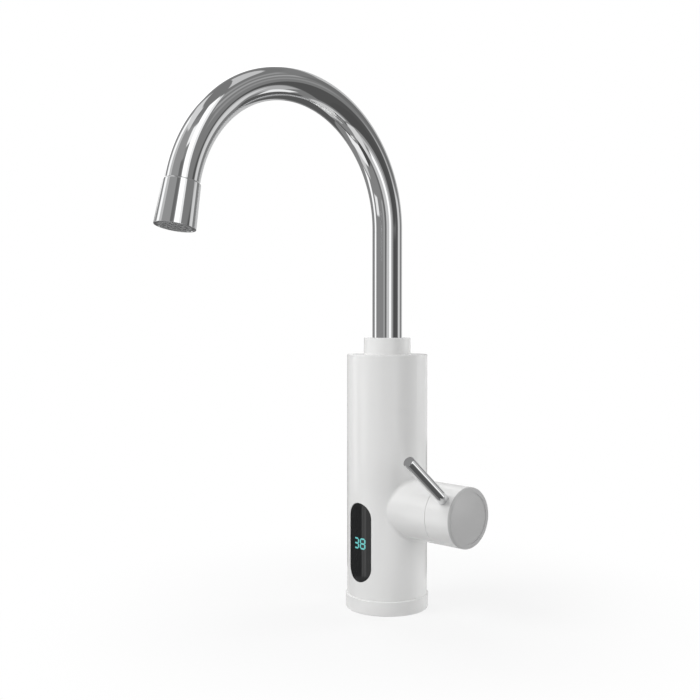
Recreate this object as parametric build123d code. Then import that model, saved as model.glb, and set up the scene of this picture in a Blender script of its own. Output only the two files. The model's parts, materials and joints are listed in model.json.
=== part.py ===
from build123d import *
import os
from math import acos, cos, radians, sin, sqrt

# Electric instant water heater tap. Millimetres, +Z up.
# The origin is on the axis of the column, at the underside of its foot.
# The spout and the display face -Y, and the handle points along +X.

# Fits between pieces
gap = 0.05  # radial clearance of a fit, running or seated
free = 0.3  # clearance where pieces pass each other
squeeze = 0.02  # between a rubber ring and the bore that it seals

# Column
column_r = 30.0
column_wall = 2.0
column_top = 189.0
top_wall = 2.5
foot_step = 0.8  # how far the column steps in under the foot ring
edge_round = 0.5
boss_blend = 2.5  # round where the side boss meets the column

# Foot ring and worktop seal
ring_r = 30.9
ring_h = 10.6
lip_h = 2.4
lip_in_r = 26.2
seal_in_r = 27.2
seal_out_r = 29.8
seal_h = 1.2

# Base plate and its fixings
plate_h = 3.0
screw_circle_r = 21.8
screw_angles = (-90, 30, 150)
screw_r = 1.5
screw_head_r = 2.9
screw_head_h = 1.6
screw_key = 1.3
screw_length = 11.0
screw_column_r = 3.6
screw_column_h = 11.0
screw_rib_w = 2.4
stud_pitch = 37.0  # between the two fixing studs
stud_hole_r = 2.1  # tapped M5
stud_insert_r = 3.4
stud_boss_r = 4.5
stud_boss_h = 4.0

# Water inlet, tapped G1/2
inlet_thread_r = 9.3
inlet_depth = 11.4
inlet_floor = 3.0
inlet_flange_r = 13.5
inlet_neck_r = 11.2
locknut_r = 13.1
locknut_h = 3.6
locknut_slots = 4
locknut_slot = (1.6, 3.0)
waterway_r = 4.5
filter_seat_r = 8.6
filter_h = 1.6
strainer_r = 4.2
strainer_tip_r = 1.6
strainer_wall = 0.8
strainer_h = 7.0

# Spigots and the rubber rings that seal them in their sockets
spigot_r = 8.0
spigot_length = 5.0
ring_section = 0.6

# Cable outlet
cable_y = 18.6
cable_hole_r = 3.7
grommet_r = 4.6
grommet_flange_r = 5.1
grommet_flange_h = 0.9

# Flow switch
switch_r = 10.5
switch_socket = 12.0  # how deep the valve's spigot sits in it
float_r = 6.0
float_length = 14.4
float_travel = 6.0
float_slack = 0.25
flute_r = 1.3
flute_count = 6
reed_size = (3.0, 4.0, 16.0)
reed_clip_wall = 1.2
reed_round = 0.6

# Handle axis, side boss and valve
handle_z = 76.6
boss_r = 21.7
boss_wall = 2.2
boss_reach = 56.8  # from the column's axis to the end of the boss
cover_h = 2.5
valve_r = 14.0
valve_start = -12.0
valve_end = 24.0
valve_wall = 3.0
valve_spigot = 12.0
valve_inlet_r = 3.5
chamber_r = 7.0
headwork_r = 10.3
seat_x = 4.0
outlet_x = 12.5
outlet_boss_r = 7.2
outlet_boss_top = 21.0  # above the handle's axis
outlet_spigot_r = 5.2
outlet_spigot_bore = 3.6
outlet_socket = 5.0
valve_groove_r = 12.0
valve_groove_w = 6.0
triac_pad_y = 12.0
triac_pad_end = 3.0

# Ceramic headwork, in places along the handle's axis
seat_seal_w = 2.4
disc_r = 8.6
disc_w = 2.4
disc_rim = 1.6
disc_hub_r = 2.2
disc_port_angle = 80
port_w = 4.4
port_h = 8.0
drive_w = 5.0
drive_flange_w = 1.6
hex_flats = 24.0
hex_w = 7.0
headwork_neck_r = 8.4
neck_proud = 1.3
spindle_r = 4.0
spindle_square = 6.0
spindle_grip = 7.6
spindle_ring_section = 0.55
spindle_ring_places = (26.0, 31.0)
clip_r = 6.2
clip_w = 0.8
clip_depth = 0.75
clip_opening = 5.0

# Handle knob
knob_r = 21.6
knob_length = 22.7
knob_wall = 2.4
knob_gap = 0.1
knob_round = 1.6
seam_edge = 0.25  # on both sides of the seam between boss and knob
hub_r = 7.5
hub_start = 1.6
web_w = 2.5
cap_r = 18.4
cap_w = 3.4
cap_lip = 1.8  # how thick the cap is outside the knob
cap_ledge = 1.2
dish_r = 18.0
dish_depth = 0.3
cap_space = 4.0
spindle_back = 13.6  # from the face of the knob to the end of the spindle
knob_screw_r = 2.0
knob_screw_head_r = 3.6
knob_screw_head_h = 2.6
knob_screw_length = 14.0
knob_screw_key = 1.7
spindle_hole = 10.0

# Lever rod
lever_r = 4.0
lever_tip = 68.0  # from the handle's axis to the end of the rod
lever_back = 9.8  # from the face of the knob to the rod's axis
lever_angle = 50.0  # forward of straight up, with the water on
lever_seat = 0.8
lever_thread_r = 3.0
lever_thread = 9.5
lever_edge = 0.4
lever_boss_r = 5.6

# Display
opening_w = 21.5
opening_h = 58.0
opening_z = 51.6
opening_edge = 0.35
window_gap = 0.15
window_lip = 0.9
window_lip_h = 1.0
window_set = 0.15  # how far its face lies under the column's
display_board_y = -21.8
display_board_h = 1.2
display_size = (15.0, 3.7, 12.0)
display_z = 51.0
rail_w = 1.5
rail_lip = 1.4
rail_over = 4.0

# Control board
control_y = 20.0
control_h = 1.6
control_half_w = 16.5
control_corner = 1.0
control_z = (16.0, 98.0)
relay_size = (15.0, 8.6, 19.0)
relay_at = (-6.0, 36.0)
relay_round = 0.8
terminal_size = (16.0, 8.0, 7.6)
terminal_at = (0.0, 20.5)
terminal_ways = 3
terminal_hole_r = 1.4
terminal_hole = 5.5
capacitor_r = 4.0
capacitor_h = 6.0
capacitor_at = (11.0, 54.0)
capacitor_round = 0.6
triac_size = (13.0, 4.4, 16.0)
triac_x = -4.8
triac_legs = (-3.6, 0.0, 3.6)
triac_leg = (1.0, 0.6, 4.0)
triac_screw_grip = 3.4

# Heating tank
tank_gap = 2.4  # from the tank's flange to the inside of the column
flange_w = 4.6
flange_h = 2.0
tank_wall = 1.0
tank_round = 3.0
tank_clear = 6.4  # from the valve's outlet boss to the underside of the tank
lid_h = 4.0
lid_clear = 2.0  # from the lid up to the socket
lid_neck_r = 7.5
lid_neck_grip = 5.5
lid_groove_lap = 0.25  # how far its ring's groove reaches in over the tank's wall
lid_ring_section = 0.6
lid_screw_r = 1.25
lid_screw_head_r = 2.1
lid_screw_head_h = 1.5
lid_screw_key = 1.0
lid_screw_count = 6
coil_tube_r = 2.6
coil_gap = 1.4
coil_pitch = 15.0
coil_floor = 6.0  # from the floor of the tank to the middle of the lowest turn
coil_head = 11.0  # from the top of the coil to the lid
elbow_r = 5.0
leg_over = 6.5
bush_wall = 0.8
bush_flange = 0.7
bush_h = 2.0
pin_r = 1.2
pin_h = 4.0
probe_r = 2.0
probe_head_r = 3.2
probe_x = 14.7
probe_down = 7.0
probe_up = 4.0
cutout_r = 7.0
cutout_h = 4.5
cutout_x = -9.5
cutout_tab = (1.0, 4.0, 3.0)
cutout_tab_x = 3.5

# Spout seat and collar
socket_drop = 27.0  # from the top of the column down to the foot of the socket
socket_hub_r = 11.0
socket_neck = 8.0  # how far its neck stands above the column
socket_flange_r = 20.0
socket_flange_h = 3.0
socket_cone = 3.0
neck_wall = 1.95
nose_r = 8.95
nose_drop = 7.0  # from the top of the column down to the spout's seat
nose_length = 11.7
foot_bore_r = 5.5
foot_flange_h = 3.0
foot_spigot = 8.0
foot_ring_section = 0.8
foot_ring_drops = (3.6, 8.0)
bush_radial = 1.9
bush_slit = 1.5
collar_wall = 2.4
collar_h = 12.3
collar_roof = 2.5

# Spout
tube_r = 11.05
tube_wall = 1.0
spout_rise = 281.6  # height where the bend starts
spout_bend_r = 91.9
spout_turn = 169.0

# Outlet, in places along its own axis
sleeve_over = 0.75  # how much wider than the tube it is at its top
sleeve_land = 0.25
sleeve_flare = 1.4
sleeve_length = 29.0
sleeve_grip = 14.0
sleeve_web = 1.5
sleeve_web_in_r = 9.6
sleeve_edge = 0.7
sleeve_round = 0.3
aerator_r = 11.85
aerator_wall = 1.2
aerator_set = 0.3
washer_h = 1.8
washer_in_r = 8.5
insert_h = 6.0
insert_floor = 1.5
insert_wall = 1.2
jet_r = 1.0
jet_rings = ((0.0, 1), (3.6, 6), (7.2, 12))

# Values worked out from those above
column_in_r = column_r - column_wall
plate_top = lip_h + plate_h
filter_top = inlet_depth + filter_h
fitting_top = filter_top + inlet_floor
spigot_bottom = handle_z - valve_r - valve_spigot - float_travel
float_seat = spigot_bottom - float_travel - float_length - 2 * float_slack
disc_x = seat_x + seat_seal_w
port_x = disc_x + 2 * disc_w
drive_end = port_x + drive_w
hex_x = valve_end + gap
cover_x = boss_reach - cover_h
neck_end = cover_x + neck_proud
clip_x = neck_end + 2 * gap
knob_x = boss_reach + knob_gap
knob_face = knob_x + knob_length
cap_x = knob_face - cap_w
cap_joint = knob_face - cap_lip
web_end = cap_x - cap_space
spindle_end = knob_face - spindle_back
lever_x = knob_face - lever_back
window_half_w = opening_w / 2 + window_lip
display_back = display_board_y + display_board_h
tank_bottom = handle_z + outlet_boss_top + tank_clear
socket_bottom = column_top - socket_drop
lid_top = socket_bottom - lid_clear
tank_top = lid_top - lid_h
tank_flange_r = column_in_r - tank_gap
tank_r = tank_flange_r - flange_w
tank_in_r = tank_r - tank_wall
lid_screw_circle_r = (tank_r + tank_flange_r) / 2
lid_groove_in = tank_r - lid_groove_lap
coil_r = tank_in_r - coil_gap - coil_tube_r
coil_bottom = tank_bottom + tank_wall + coil_floor
coil_top = tank_top - coil_head
coil_turns = round(4 * (coil_top - coil_bottom) / coil_pitch) / 4
nose_top = column_top - nose_drop
foot_top = nose_top + gap + foot_flange_h
bush_in_r = tube_r + gap
bush_out_r = bush_in_r + bush_radial
socket_bore_r = bush_out_r + gap
socket_neck_r = socket_bore_r + neck_wall
collar_in_r = socket_neck_r + gap
collar_r = collar_in_r + collar_wall
collar_end = column_top + collar_h
aerator_x = sleeve_grip + sleeve_web + washer_h
outlet_face = sleeve_length - aerator_set

# Places along the handle's axis, the lever's and the outlet's
handle_place = Plane(origin=(0, 0, handle_z), x_dir=(0, 1, 0), z_dir=(1, 0, 0)).location
lever_way = (0, -sin(radians(lever_angle)), cos(radians(lever_angle)))
lever_place = Plane(origin=(lever_x, 0, handle_z), x_dir=(1, 0, 0), z_dir=lever_way).location
spout_end_angle = radians(spout_turn)
outlet_place = Plane(
    origin=(
        0,
        -spout_bend_r * (1 - cos(spout_end_angle)),
        spout_rise + spout_bend_r * sin(spout_end_angle),
    ),
    x_dir=(1, 0, 0),
    z_dir=(0, -sin(spout_end_angle), cos(spout_end_angle)),
).location

standing = (Align.CENTER, Align.CENTER, Align.MIN)


def rod(radius, start, end):
    """A round bar along Z."""
    return Pos(0, 0, start) * Cylinder(radius, end - start, align=standing)


def ring(outer, inner, start, end):
    """A tube along Z."""
    return rod(outer, start, end) - rod(inner, start, end)


def turned(*corners):
    """A turned piece: a closed outline of (radius, height) corners, taken round Z."""
    outline = make_face(Plane.XZ * Polyline(*corners, close=True))
    return revolve(outline, axis=Axis.Z)


def block(size, centre):
    """A plain block about its centre."""
    return Pos(*centre) * Box(*size)


def around(radius, angles):
    """Places on a circle about Z, each turned to face outwards."""
    return [Rot(0, 0, angle) * Pos(radius, 0, 0) for angle in angles]


def evenly(count, start=0.0):
    """The angles of an even pattern."""
    return [start + 360.0 * index / count for index in range(count)]


def rim(part, radius, height):
    """The full circles of one radius at one height on a part that was turned about Z."""
    circles = part.edges().filter_by(GeomType.CIRCLE)
    return [
        edge
        for edge in circles
        if abs(edge.radius - radius) < 0.01 and abs(edge.center().Z - height) < 0.01
    ]


def sealing_ring(bore_r, section, height):
    """A rubber ring about Z that just meets its bore."""
    return Pos(0, 0, height) * Torus(bore_r - squeeze - section, section)


def ring_groove(outer_r, section, height):
    """The cutter for a sealing ring's groove in a spigot or a spindle."""
    half_w = section + gap
    return ring(outer_r + 1, outer_r - 2 * section, height - half_w, height + half_w)


def screw(shank_r, head_r, head_h, length, key):
    """A screw along Z: its head ends at zero, its shank is above, and a hexagon key fits it."""
    socket = Pos(0, 0, -head_h) * extrude(RegularPolygon(key, 6), amount=head_h / 2)
    return rod(head_r, -head_h, 0) + rod(shank_r, 0, length) - socket


def upside_down(part):
    """A part turned over about the X axis."""
    return Rot(180, 0, 0) * part


# Column
def front_pill(grow):
    """The display opening's outline, grown by a margin, as a bar out through the front."""
    pill = SlotOverall(opening_h + 2 * grow, opening_w + 2 * grow, rotation=90)
    front = Plane(origin=(0, 0, opening_z), x_dir=(1, 0, 0), z_dir=(0, -1, 0))
    return extrude(front * pill, amount=2 * column_r)


def round_the_opening(edge):
    """True for an edge of the display opening in the column's outer face."""
    middle = edge @ 0.5
    in_face = abs(sqrt(middle.X**2 + middle.Y**2) - column_r) < 0.01 and middle.Y < 0
    in_width = abs(middle.X) < opening_w / 2 + 0.01
    return in_face and in_width and abs(middle.Z - opening_z) < opening_h / 2 + 0.01


def board_rails(half_w, face_y, way, z0, z1):
    """Two rails moulded in the column that hold a board by its long edges.

    Each has a web beside the board, out to the column's wall, and a lip over the face at face_y.
    way is 1 for a board at the back of the column and -1 for one at the front.
    """
    rails = []
    lip_y = face_y - way * rail_lip
    for side in (-1, 1):
        near = side * (half_w + gap)
        far = near + side * rail_w
        tip = near - side * rail_lip
        web_size = (rail_w, abs(way * column_r - lip_y), z1 - z0)
        web = block(web_size, ((near + far) / 2, (lip_y + way * column_r) / 2, (z0 + z1) / 2))
        lip_size = (abs(far - tip), rail_lip - gap, z1 - z0)
        lip = block(lip_size, ((far + tip) / 2, (lip_y + face_y - way * gap) / 2, (z0 + z1) / 2))
        rails.append(web + lip)
    return rails


def screw_columns():
    """Columns inside the foot that the base screws are driven into."""
    columns = []
    for place in around(screw_circle_r, screw_angles):
        reach = column_in_r - screw_circle_r + column_wall / 2
        rib_size = (reach, screw_rib_w, screw_column_h)
        rib = block(rib_size, (reach / 2, 0, plate_top + screw_column_h / 2))
        columns.append(place * (rod(screw_column_r, plate_top, plate_top + screw_column_h) + rib))
    return columns


def body_shell():
    boss = rod(boss_r, 0, boss_reach)
    boss = chamfer(rim(boss, boss_r, boss_reach), seam_edge)
    outside = rod(column_r, lip_h, column_top) + handle_place * boss
    round_kinds = (GeomType.CIRCLE, GeomType.LINE)
    outside = fillet([edge for edge in outside.edges() if edge.geom_type not in round_kinds], boss_blend)
    outside = fillet(rim(outside, column_r, column_top), edge_round)
    shell = outside - rod(column_in_r, 0, column_top - top_wall)
    shell -= ring(column_r + 1, column_r - foot_step, lip_h, ring_h)
    shell -= rod(socket_neck_r + gap, column_top - top_wall, column_top)
    rail_reach = opening_h / 2 + rail_over
    rails = board_rails(window_half_w + gap, display_back, -1, opening_z - rail_reach, opening_z + rail_reach)
    rails += board_rails(control_half_w, control_y, 1, *control_z)
    inside = rod(column_in_r + column_wall / 2, 0, column_top)
    for fitting in rails + screw_columns():
        shell += fitting & inside
    shell -= handle_place * rod(boss_r - boss_wall, sqrt(column_in_r**2 - boss_r**2) + 2, boss_reach)
    recess = ring(column_in_r, column_in_r - 2 * window_lip_h, 0, column_top)
    shell -= front_pill(window_lip + window_gap) & recess
    shell -= front_pill(0)
    shell = chamfer([edge for edge in shell.edges() if round_the_opening(edge)], opening_edge)
    for place in around(screw_circle_r, screw_angles):
        shell -= place * rod(screw_r + gap, plate_top, plate_top + screw_column_h - 1)
    return shell


# Foot
def base_ring():
    ring_body = turned(
        (lip_in_r, 0),
        (seal_in_r, 0),
        (seal_in_r, seal_h),
        (seal_out_r, seal_h),
        (seal_out_r, 0),
        (ring_r, 0),
        (ring_r, ring_h),
        (column_r - foot_step + gap, ring_h),
        (column_r - foot_step + gap, lip_h),
        (lip_in_r, lip_h),
    )
    return fillet(rim(ring_body, ring_r, ring_h) + rim(ring_body, ring_r, 0), edge_round)


def base_seal():
    return ring(seal_out_r - gap, seal_in_r + gap, 0, seal_h)


def base_plate():
    plate = rod(column_in_r - gap, lip_h, plate_top)
    for place in around(stud_pitch / 2, (0, 180)):
        plate += place * rod(stud_boss_r, plate_top, plate_top + stud_boss_h)
        plate -= place * rod(stud_insert_r + gap, lip_h, plate_top + stud_boss_h)
    plate -= rod(inlet_neck_r + gap, lip_h, plate_top)
    plate -= Pos(0, cable_y, 0) * rod(grommet_r, lip_h, plate_top)
    for place in around(screw_circle_r, screw_angles):
        plate -= place * rod(screw_r + gap, lip_h, plate_top)
        plate -= place * rod(screw_head_r + free, lip_h, lip_h + screw_head_h)
    return plate


def stud_inserts():
    insert = ring(stud_insert_r, stud_hole_r, lip_h, plate_top + stud_boss_h)
    return [place * insert for place in around(stud_pitch / 2, (0, 180))]


def base_screws():
    one = screw(screw_r, screw_head_r, screw_head_h, screw_length, screw_key)
    seat = Pos(0, 0, lip_h + screw_head_h)
    return [place * seat * one for place in around(screw_circle_r, screw_angles)]


def cable_grommet():
    profile = turned(
        (cable_hole_r, lip_h - grommet_flange_h),
        (grommet_flange_r, lip_h - grommet_flange_h),
        (grommet_flange_r, lip_h),
        (grommet_r - gap, lip_h),
        (grommet_r - gap, plate_top),
        (grommet_flange_r, plate_top),
        (grommet_flange_r, plate_top + grommet_flange_h),
        (cable_hole_r, plate_top + grommet_flange_h),
    )
    return Pos(0, cable_y, 0) * profile


# Water inlet and flow switch
def inlet_fitting():
    spigot_top = fitting_top + spigot_length
    fitting = turned(
        (inlet_thread_r, 0),
        (inlet_flange_r, 0),
        (inlet_flange_r, lip_h),
        (inlet_neck_r, lip_h),
        (inlet_neck_r, fitting_top),
        (spigot_r, fitting_top),
        (spigot_r, spigot_top),
        (waterway_r, spigot_top),
        (waterway_r, filter_top),
        (filter_seat_r, filter_top),
        (filter_seat_r, inlet_depth),
        (inlet_thread_r, inlet_depth),
    )
    return fitting - ring_groove(spigot_r, ring_section, fitting_top + spigot_length / 2)


def inlet_locknut():
    nut = ring(locknut_r, inlet_neck_r + gap, plate_top, plate_top + locknut_h)
    for place in around(locknut_r, evenly(locknut_slots, 45)):
        nut -= place * block((*locknut_slot, locknut_h), (0, 0, plate_top + locknut_h / 2))
    return nut


def inlet_filter():
    """A cone of strainer mesh that stands up in the waterway on its own washer."""
    tip = filter_top + strainer_h
    return turned(
        (strainer_r - strainer_wall, inlet_depth),
        (filter_seat_r - gap, inlet_depth),
        (filter_seat_r - gap, filter_top),
        (strainer_r, filter_top),
        (strainer_tip_r, tip),
        (0, tip),
        (0, tip - strainer_wall),
        (strainer_tip_r - strainer_wall, tip - strainer_wall),
    )


def flow_switch_body():
    top = spigot_bottom + switch_socket
    body = rod(switch_r, fitting_top, top)
    body -= rod(spigot_r + gap, fitting_top, fitting_top + spigot_length)
    body -= rod(waterway_r, fitting_top, float_seat)
    body -= rod(float_r + gap, float_seat, spigot_bottom)
    body -= rod(spigot_r + gap, spigot_bottom, top)
    reed_w, reed_l, reed_h = reed_size
    clip_mid = (-switch_r - reed_w / 4, 0, spigot_bottom - reed_h / 2)
    clip = block((reed_w, reed_l + 2 * reed_clip_wall, reed_h / 2), clip_mid)
    body += clip - rod(switch_r - 1, 0, top)
    slot_mid = (-switch_r - gap - reed_w / 2, 0, spigot_bottom - reed_h / 2)
    return body - block((reed_w + 2 * gap, reed_l + 2 * gap, reed_h), slot_mid)


def reed_switch():
    sealed = Box(*reed_size)
    sealed = fillet(sealed.edges().filter_by(Axis.Z), reed_round)
    return Pos(-switch_r - gap - reed_size[0] / 2, 0, spigot_bottom - reed_size[2] / 2) * sealed


def flow_float():
    start = float_seat + float_slack
    body = rod(float_r, start, start + float_length)
    for place in around(float_r, evenly(flute_count)):
        body -= place * rod(flute_r, start, start + float_length)
    return body


# Valve
def valve_body():
    body = handle_place * rod(valve_r, valve_start, valve_end)
    body += rod(spigot_r, spigot_bottom, handle_z)
    body += Pos(outlet_x, 0, handle_z) * rod(outlet_boss_r, 0, outlet_boss_top)
    body -= handle_place * rod(chamber_r, valve_start + valve_wall, seat_x)
    body -= handle_place * rod(headwork_r + gap, seat_x, valve_end)
    half_w = valve_groove_w / 2
    body -= handle_place * rod(valve_groove_r, outlet_x - half_w, outlet_x + half_w)
    body -= rod(valve_inlet_r, spigot_bottom, handle_z)
    outlet = rod(outlet_spigot_bore, headwork_r, outlet_boss_top)
    outlet += rod(outlet_spigot_r + gap, outlet_boss_top - outlet_socket, outlet_boss_top)
    body -= Pos(outlet_x, 0, handle_z) * outlet
    pad_w = triac_pad_end - valve_start
    pad_mid = (valve_start + pad_w / 2, triac_pad_y + valve_r / 2, handle_z)
    body -= block((pad_w, valve_r, 2 * valve_r), pad_mid)
    body -= ring_groove(spigot_r, ring_section, spigot_bottom + switch_socket / 2)
    return body - triac_place(0) * upside_down(rod(screw_r + gap, 0, triac_screw_grip + gap))


def triac_place(lift):
    """Where the triac is screwed down, lifted off the valve's flat, with Z along +Y."""
    return Plane(origin=(triac_x, triac_pad_y + lift, handle_z), x_dir=(1, 0, 0), z_dir=(0, 1, 0)).location


def triac():
    size_x, size_y, size_z = triac_size
    case = block(triac_size, (triac_x, triac_pad_y + size_y / 2, handle_z))
    case -= triac_place(0) * rod(screw_r + gap, 0, size_y)
    for offset in triac_legs:
        place = (triac_x + offset, triac_pad_y + size_y / 2, handle_z - size_z / 2 - triac_leg[2] / 2)
        case += block(triac_leg, place)
    return case


def triac_screw():
    grip = triac_screw_grip + triac_size[1]
    one = screw(screw_r, screw_head_r, screw_head_h, grip, screw_key)
    return triac_place(triac_size[1]) * upside_down(one)


def port_o_rings():
    """The rings on the inlet's, the valve's and the tank's spigots."""
    outlet_ring_z = handle_z + outlet_boss_top - outlet_socket / 2
    outlet_ring = sealing_ring(outlet_spigot_r + gap, ring_section, outlet_ring_z)
    return [
        sealing_ring(spigot_r + gap, ring_section, fitting_top + spigot_length / 2),
        sealing_ring(spigot_r + gap, ring_section, spigot_bottom + switch_socket / 2),
        Pos(outlet_x, 0, 0) * outlet_ring,
    ]


# Ceramic headwork
def seat_seal():
    return handle_place * ring(headwork_r - disc_rim, chamber_r - disc_rim, seat_x, disc_x)


def headwork_body():
    body = turned(
        (disc_r + gap, disc_x),
        (headwork_r, disc_x),
        (headwork_r, hex_x + hex_w),
        (headwork_neck_r, hex_x + hex_w),
        (headwork_neck_r, neck_end),
        (spindle_r + gap, neck_end),
        (spindle_r + gap, drive_end),
        (disc_r + gap, drive_end),
    )
    nut = extrude(RegularPolygon(hex_flats / 2, 6, major_radius=False), amount=hex_w)
    body += Pos(0, 0, hex_x) * nut - rod(headwork_neck_r, hex_x, hex_x + hex_w)
    for turn in (0, 90):
        ports = block((3 * headwork_r, port_h, port_w), (0, 0, port_x + port_w / 2))
        body -= Rot(0, 0, turn) * ports
    return handle_place * body


def ceramic_disc(start):
    """A disc with two opposite quarter openings. Turned a quarter against its mate, it shuts."""
    end = start + disc_w
    plate = rod(disc_r, start, end)
    on_axis = (Align.NONE, Align.NONE, Align.MIN)
    wedge = Cylinder(disc_r - disc_rim, disc_w, arc_size=disc_port_angle, align=on_axis)
    opening = Pos(0, 0, start) * wedge - rod(disc_hub_r, start, end)
    for turn in (0, 180):
        plate -= Rot(0, 0, turn - disc_port_angle / 2) * opening
    return plate


def fixed_disc():
    return handle_place * ceramic_disc(disc_x)


def moving_disc():
    return handle_place * Rot(0, 0, lever_angle + 90) * ceramic_disc(disc_x + disc_w)


def spindle():
    start = port_x
    spread = rod(disc_r - disc_rim, start, start + drive_flange_w)
    drive = spread & block((2 * disc_r, 2 * spindle_r, drive_end), (0, 0, start))
    square_start = spindle_end - spindle_grip
    square = block((spindle_square, spindle_square, spindle_grip), (0, 0, spindle_end - spindle_grip / 2))
    shaft = rod(spindle_r, start, square_start) + drive
    shaft += square & rod(spindle_r, square_start, spindle_end)
    shaft -= rod(knob_screw_r + gap, spindle_end - spindle_hole, spindle_end)
    shaft -= ring(spindle_r + 1, spindle_r - clip_depth, clip_x - gap, clip_x + clip_w + gap)
    for place in spindle_ring_places:
        shaft -= ring_groove(spindle_r, spindle_ring_section, place)
    return handle_place * Rot(0, 0, lever_angle) * shaft


def spindle_o_rings():
    bore_r = spindle_r + gap
    rings = [sealing_ring(bore_r, spindle_ring_section, place) for place in spindle_ring_places]
    return [handle_place * one for one in rings]


def spindle_clip():
    inner = spindle_r - clip_depth + gap
    clip = ring(clip_r, inner, clip_x, clip_x + clip_w)
    clip -= block((2 * clip_r, clip_opening, 3 * clip_w), (-clip_r, 0, clip_x))
    return handle_place * Rot(0, 0, lever_angle) * clip


def boss_cover():
    return handle_place * ring(boss_r - boss_wall - gap, headwork_neck_r + gap, cover_x, boss_reach)


# Handle
def handle_knob():
    outside = rod(knob_r, knob_x, cap_joint)
    outside = chamfer(rim(outside, knob_r, knob_x), seam_edge)
    knob = outside - rod(knob_r - knob_wall, knob_x, web_end - web_w)
    knob -= rod(cap_r - cap_ledge, web_end, cap_joint)
    knob -= rod(cap_r, cap_x, cap_joint)
    knob += rod(hub_r, knob_x + hub_start, web_end)
    knob = handle_place * knob
    lever_boss = lever_place * rod(lever_boss_r, hub_r - 1, knob_r - knob_wall / 2)
    knob += lever_boss - handle_place * rod(hub_r - 1, 0, knob_face)
    seat = knob_r - lever_seat
    knob -= lever_place * rod(lever_thread_r + gap, seat - lever_thread, seat)
    knob -= lever_place * rod(lever_r + gap, seat, knob_r + 1)
    socket_w = spindle_square + 2 * gap
    socket = block((socket_w, socket_w, spindle_end), (0, 0, spindle_end / 2 + free))
    bore = rod(knob_screw_r + gap, spindle_end, web_end)
    return knob - handle_place * Rot(0, 0, lever_angle) * (socket + bore)


def knob_screw():
    one = screw(knob_screw_r, knob_screw_head_r, knob_screw_head_h, knob_screw_length, knob_screw_key)
    return handle_place * Pos(0, 0, web_end) * upside_down(one)


def knob_cap():
    cap = rod(knob_r, cap_joint, knob_face)
    cap = fillet(rim(cap, knob_r, knob_face), knob_round)
    cap += rod(cap_r - gap, cap_x, cap_joint)
    return handle_place * (cap - rod(dish_r, knob_face - dish_depth, knob_face))


def lever_rod():
    seat = knob_r - lever_seat
    bar = rod(lever_r, seat, lever_tip)
    bar = chamfer(rim(bar, lever_r, lever_tip), lever_edge)
    return lever_place * (bar + rod(lever_thread_r, seat - lever_thread + free, seat))


# Display and electronics
def display_window():
    inner_r = column_in_r - window_lip_h
    face = front_pill(-window_gap) & ring(column_r - window_set, inner_r, 0, column_top)
    lip = front_pill(window_lip) & ring(column_in_r - gap, inner_r, 0, column_top)
    return face + lip


def display_board():
    size = (2 * window_half_w, display_board_h, opening_h + rail_over)
    return block(size, (0, display_board_y + display_board_h / 2, opening_z))


def digit_display():
    return block(display_size, (0, display_board_y - display_size[1] / 2, display_z))


def control_board():
    z0, z1 = control_z
    size = (2 * control_half_w, control_h, z1 - z0)
    board = block(size, (0, control_y + control_h / 2, (z0 + z1) / 2))
    return chamfer(board.edges().filter_by(Axis.Y), control_corner)


def on_board(size, at):
    """A block on the control board, with its back against the board."""
    return block(size, (at[0], control_y - size[1] / 2, at[1]))


def relay():
    case = on_board(relay_size, relay_at)
    return fillet(case.edges().filter_by(Axis.Y), relay_round)


def terminal_block():
    case = on_board(terminal_size, terminal_at)
    pitch = terminal_size[0] / terminal_ways
    for index in range(terminal_ways):
        x = terminal_at[0] + (index - (terminal_ways - 1) / 2) * pitch
        place = Pos(x, control_y - terminal_size[1] / 2, terminal_at[1] - terminal_size[2] / 2)
        case -= place * rod(terminal_hole_r, 0, terminal_hole)
    return case


def capacitor():
    x, z = capacitor_at
    back = Plane(origin=(x, control_y, z), x_dir=(1, 0, 0), z_dir=(0, -1, 0))
    can = rod(capacitor_r, 0, capacitor_h)
    return back.location * fillet(rim(can, capacitor_r, capacitor_h), capacitor_round)


# Heating tank
def heater_tank():
    outside = rod(tank_r, tank_bottom, tank_top)
    outside = fillet(rim(outside, tank_r, tank_bottom), tank_round)
    inside = rod(tank_in_r, tank_bottom + tank_wall, tank_top)
    inside = fillet(rim(inside, tank_in_r, tank_bottom + tank_wall), tank_round - tank_wall)
    tank = outside + rod(tank_flange_r, tank_top - flange_h, tank_top)
    socket_floor = handle_z + outlet_boss_top - outlet_socket
    spigot = rod(outlet_spigot_r, socket_floor + gap, tank_bottom + tank_wall / 2)
    spigot -= ring_groove(outlet_spigot_r, ring_section, socket_floor + outlet_socket / 2)
    tank = tank + Pos(outlet_x, 0, 0) * spigot - inside
    tank -= Pos(outlet_x, 0, 0) * rod(outlet_spigot_bore, socket_floor, tank_bottom + 2 * tank_wall)
    for place in around(lid_screw_circle_r, evenly(lid_screw_count)):
        tank -= place * rod(lid_screw_r + gap, tank_top - flange_h, tank_top)
    return tank


def tank_o_ring():
    major = lid_groove_in + lid_ring_section + gap
    return Pos(0, 0, tank_top + lid_ring_section + squeeze) * Torus(major, lid_ring_section)


def tank_lid():
    lid = rod(tank_flange_r, tank_top, lid_top) + rod(lid_neck_r, lid_top, socket_bottom + lid_neck_grip)
    lid -= rod(waterway_r, tank_top, socket_bottom + lid_neck_grip)
    groove_h = 2 * (lid_ring_section + squeeze)
    lid -= ring(lid_groove_in + 2 * (lid_ring_section + gap), lid_groove_in, tank_top, tank_top + groove_h)
    for place in around(lid_screw_circle_r, evenly(lid_screw_count)):
        lid -= place * rod(lid_screw_r + gap, tank_top, lid_top)
    for leg in leg_ends():
        lid -= Pos(leg.X, leg.Y, 0) * rod(coil_tube_r + bush_wall + gap, tank_top, lid_top)
    return lid - Pos(probe_x, 0, 0) * rod(probe_r + gap, tank_top, lid_top)


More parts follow.
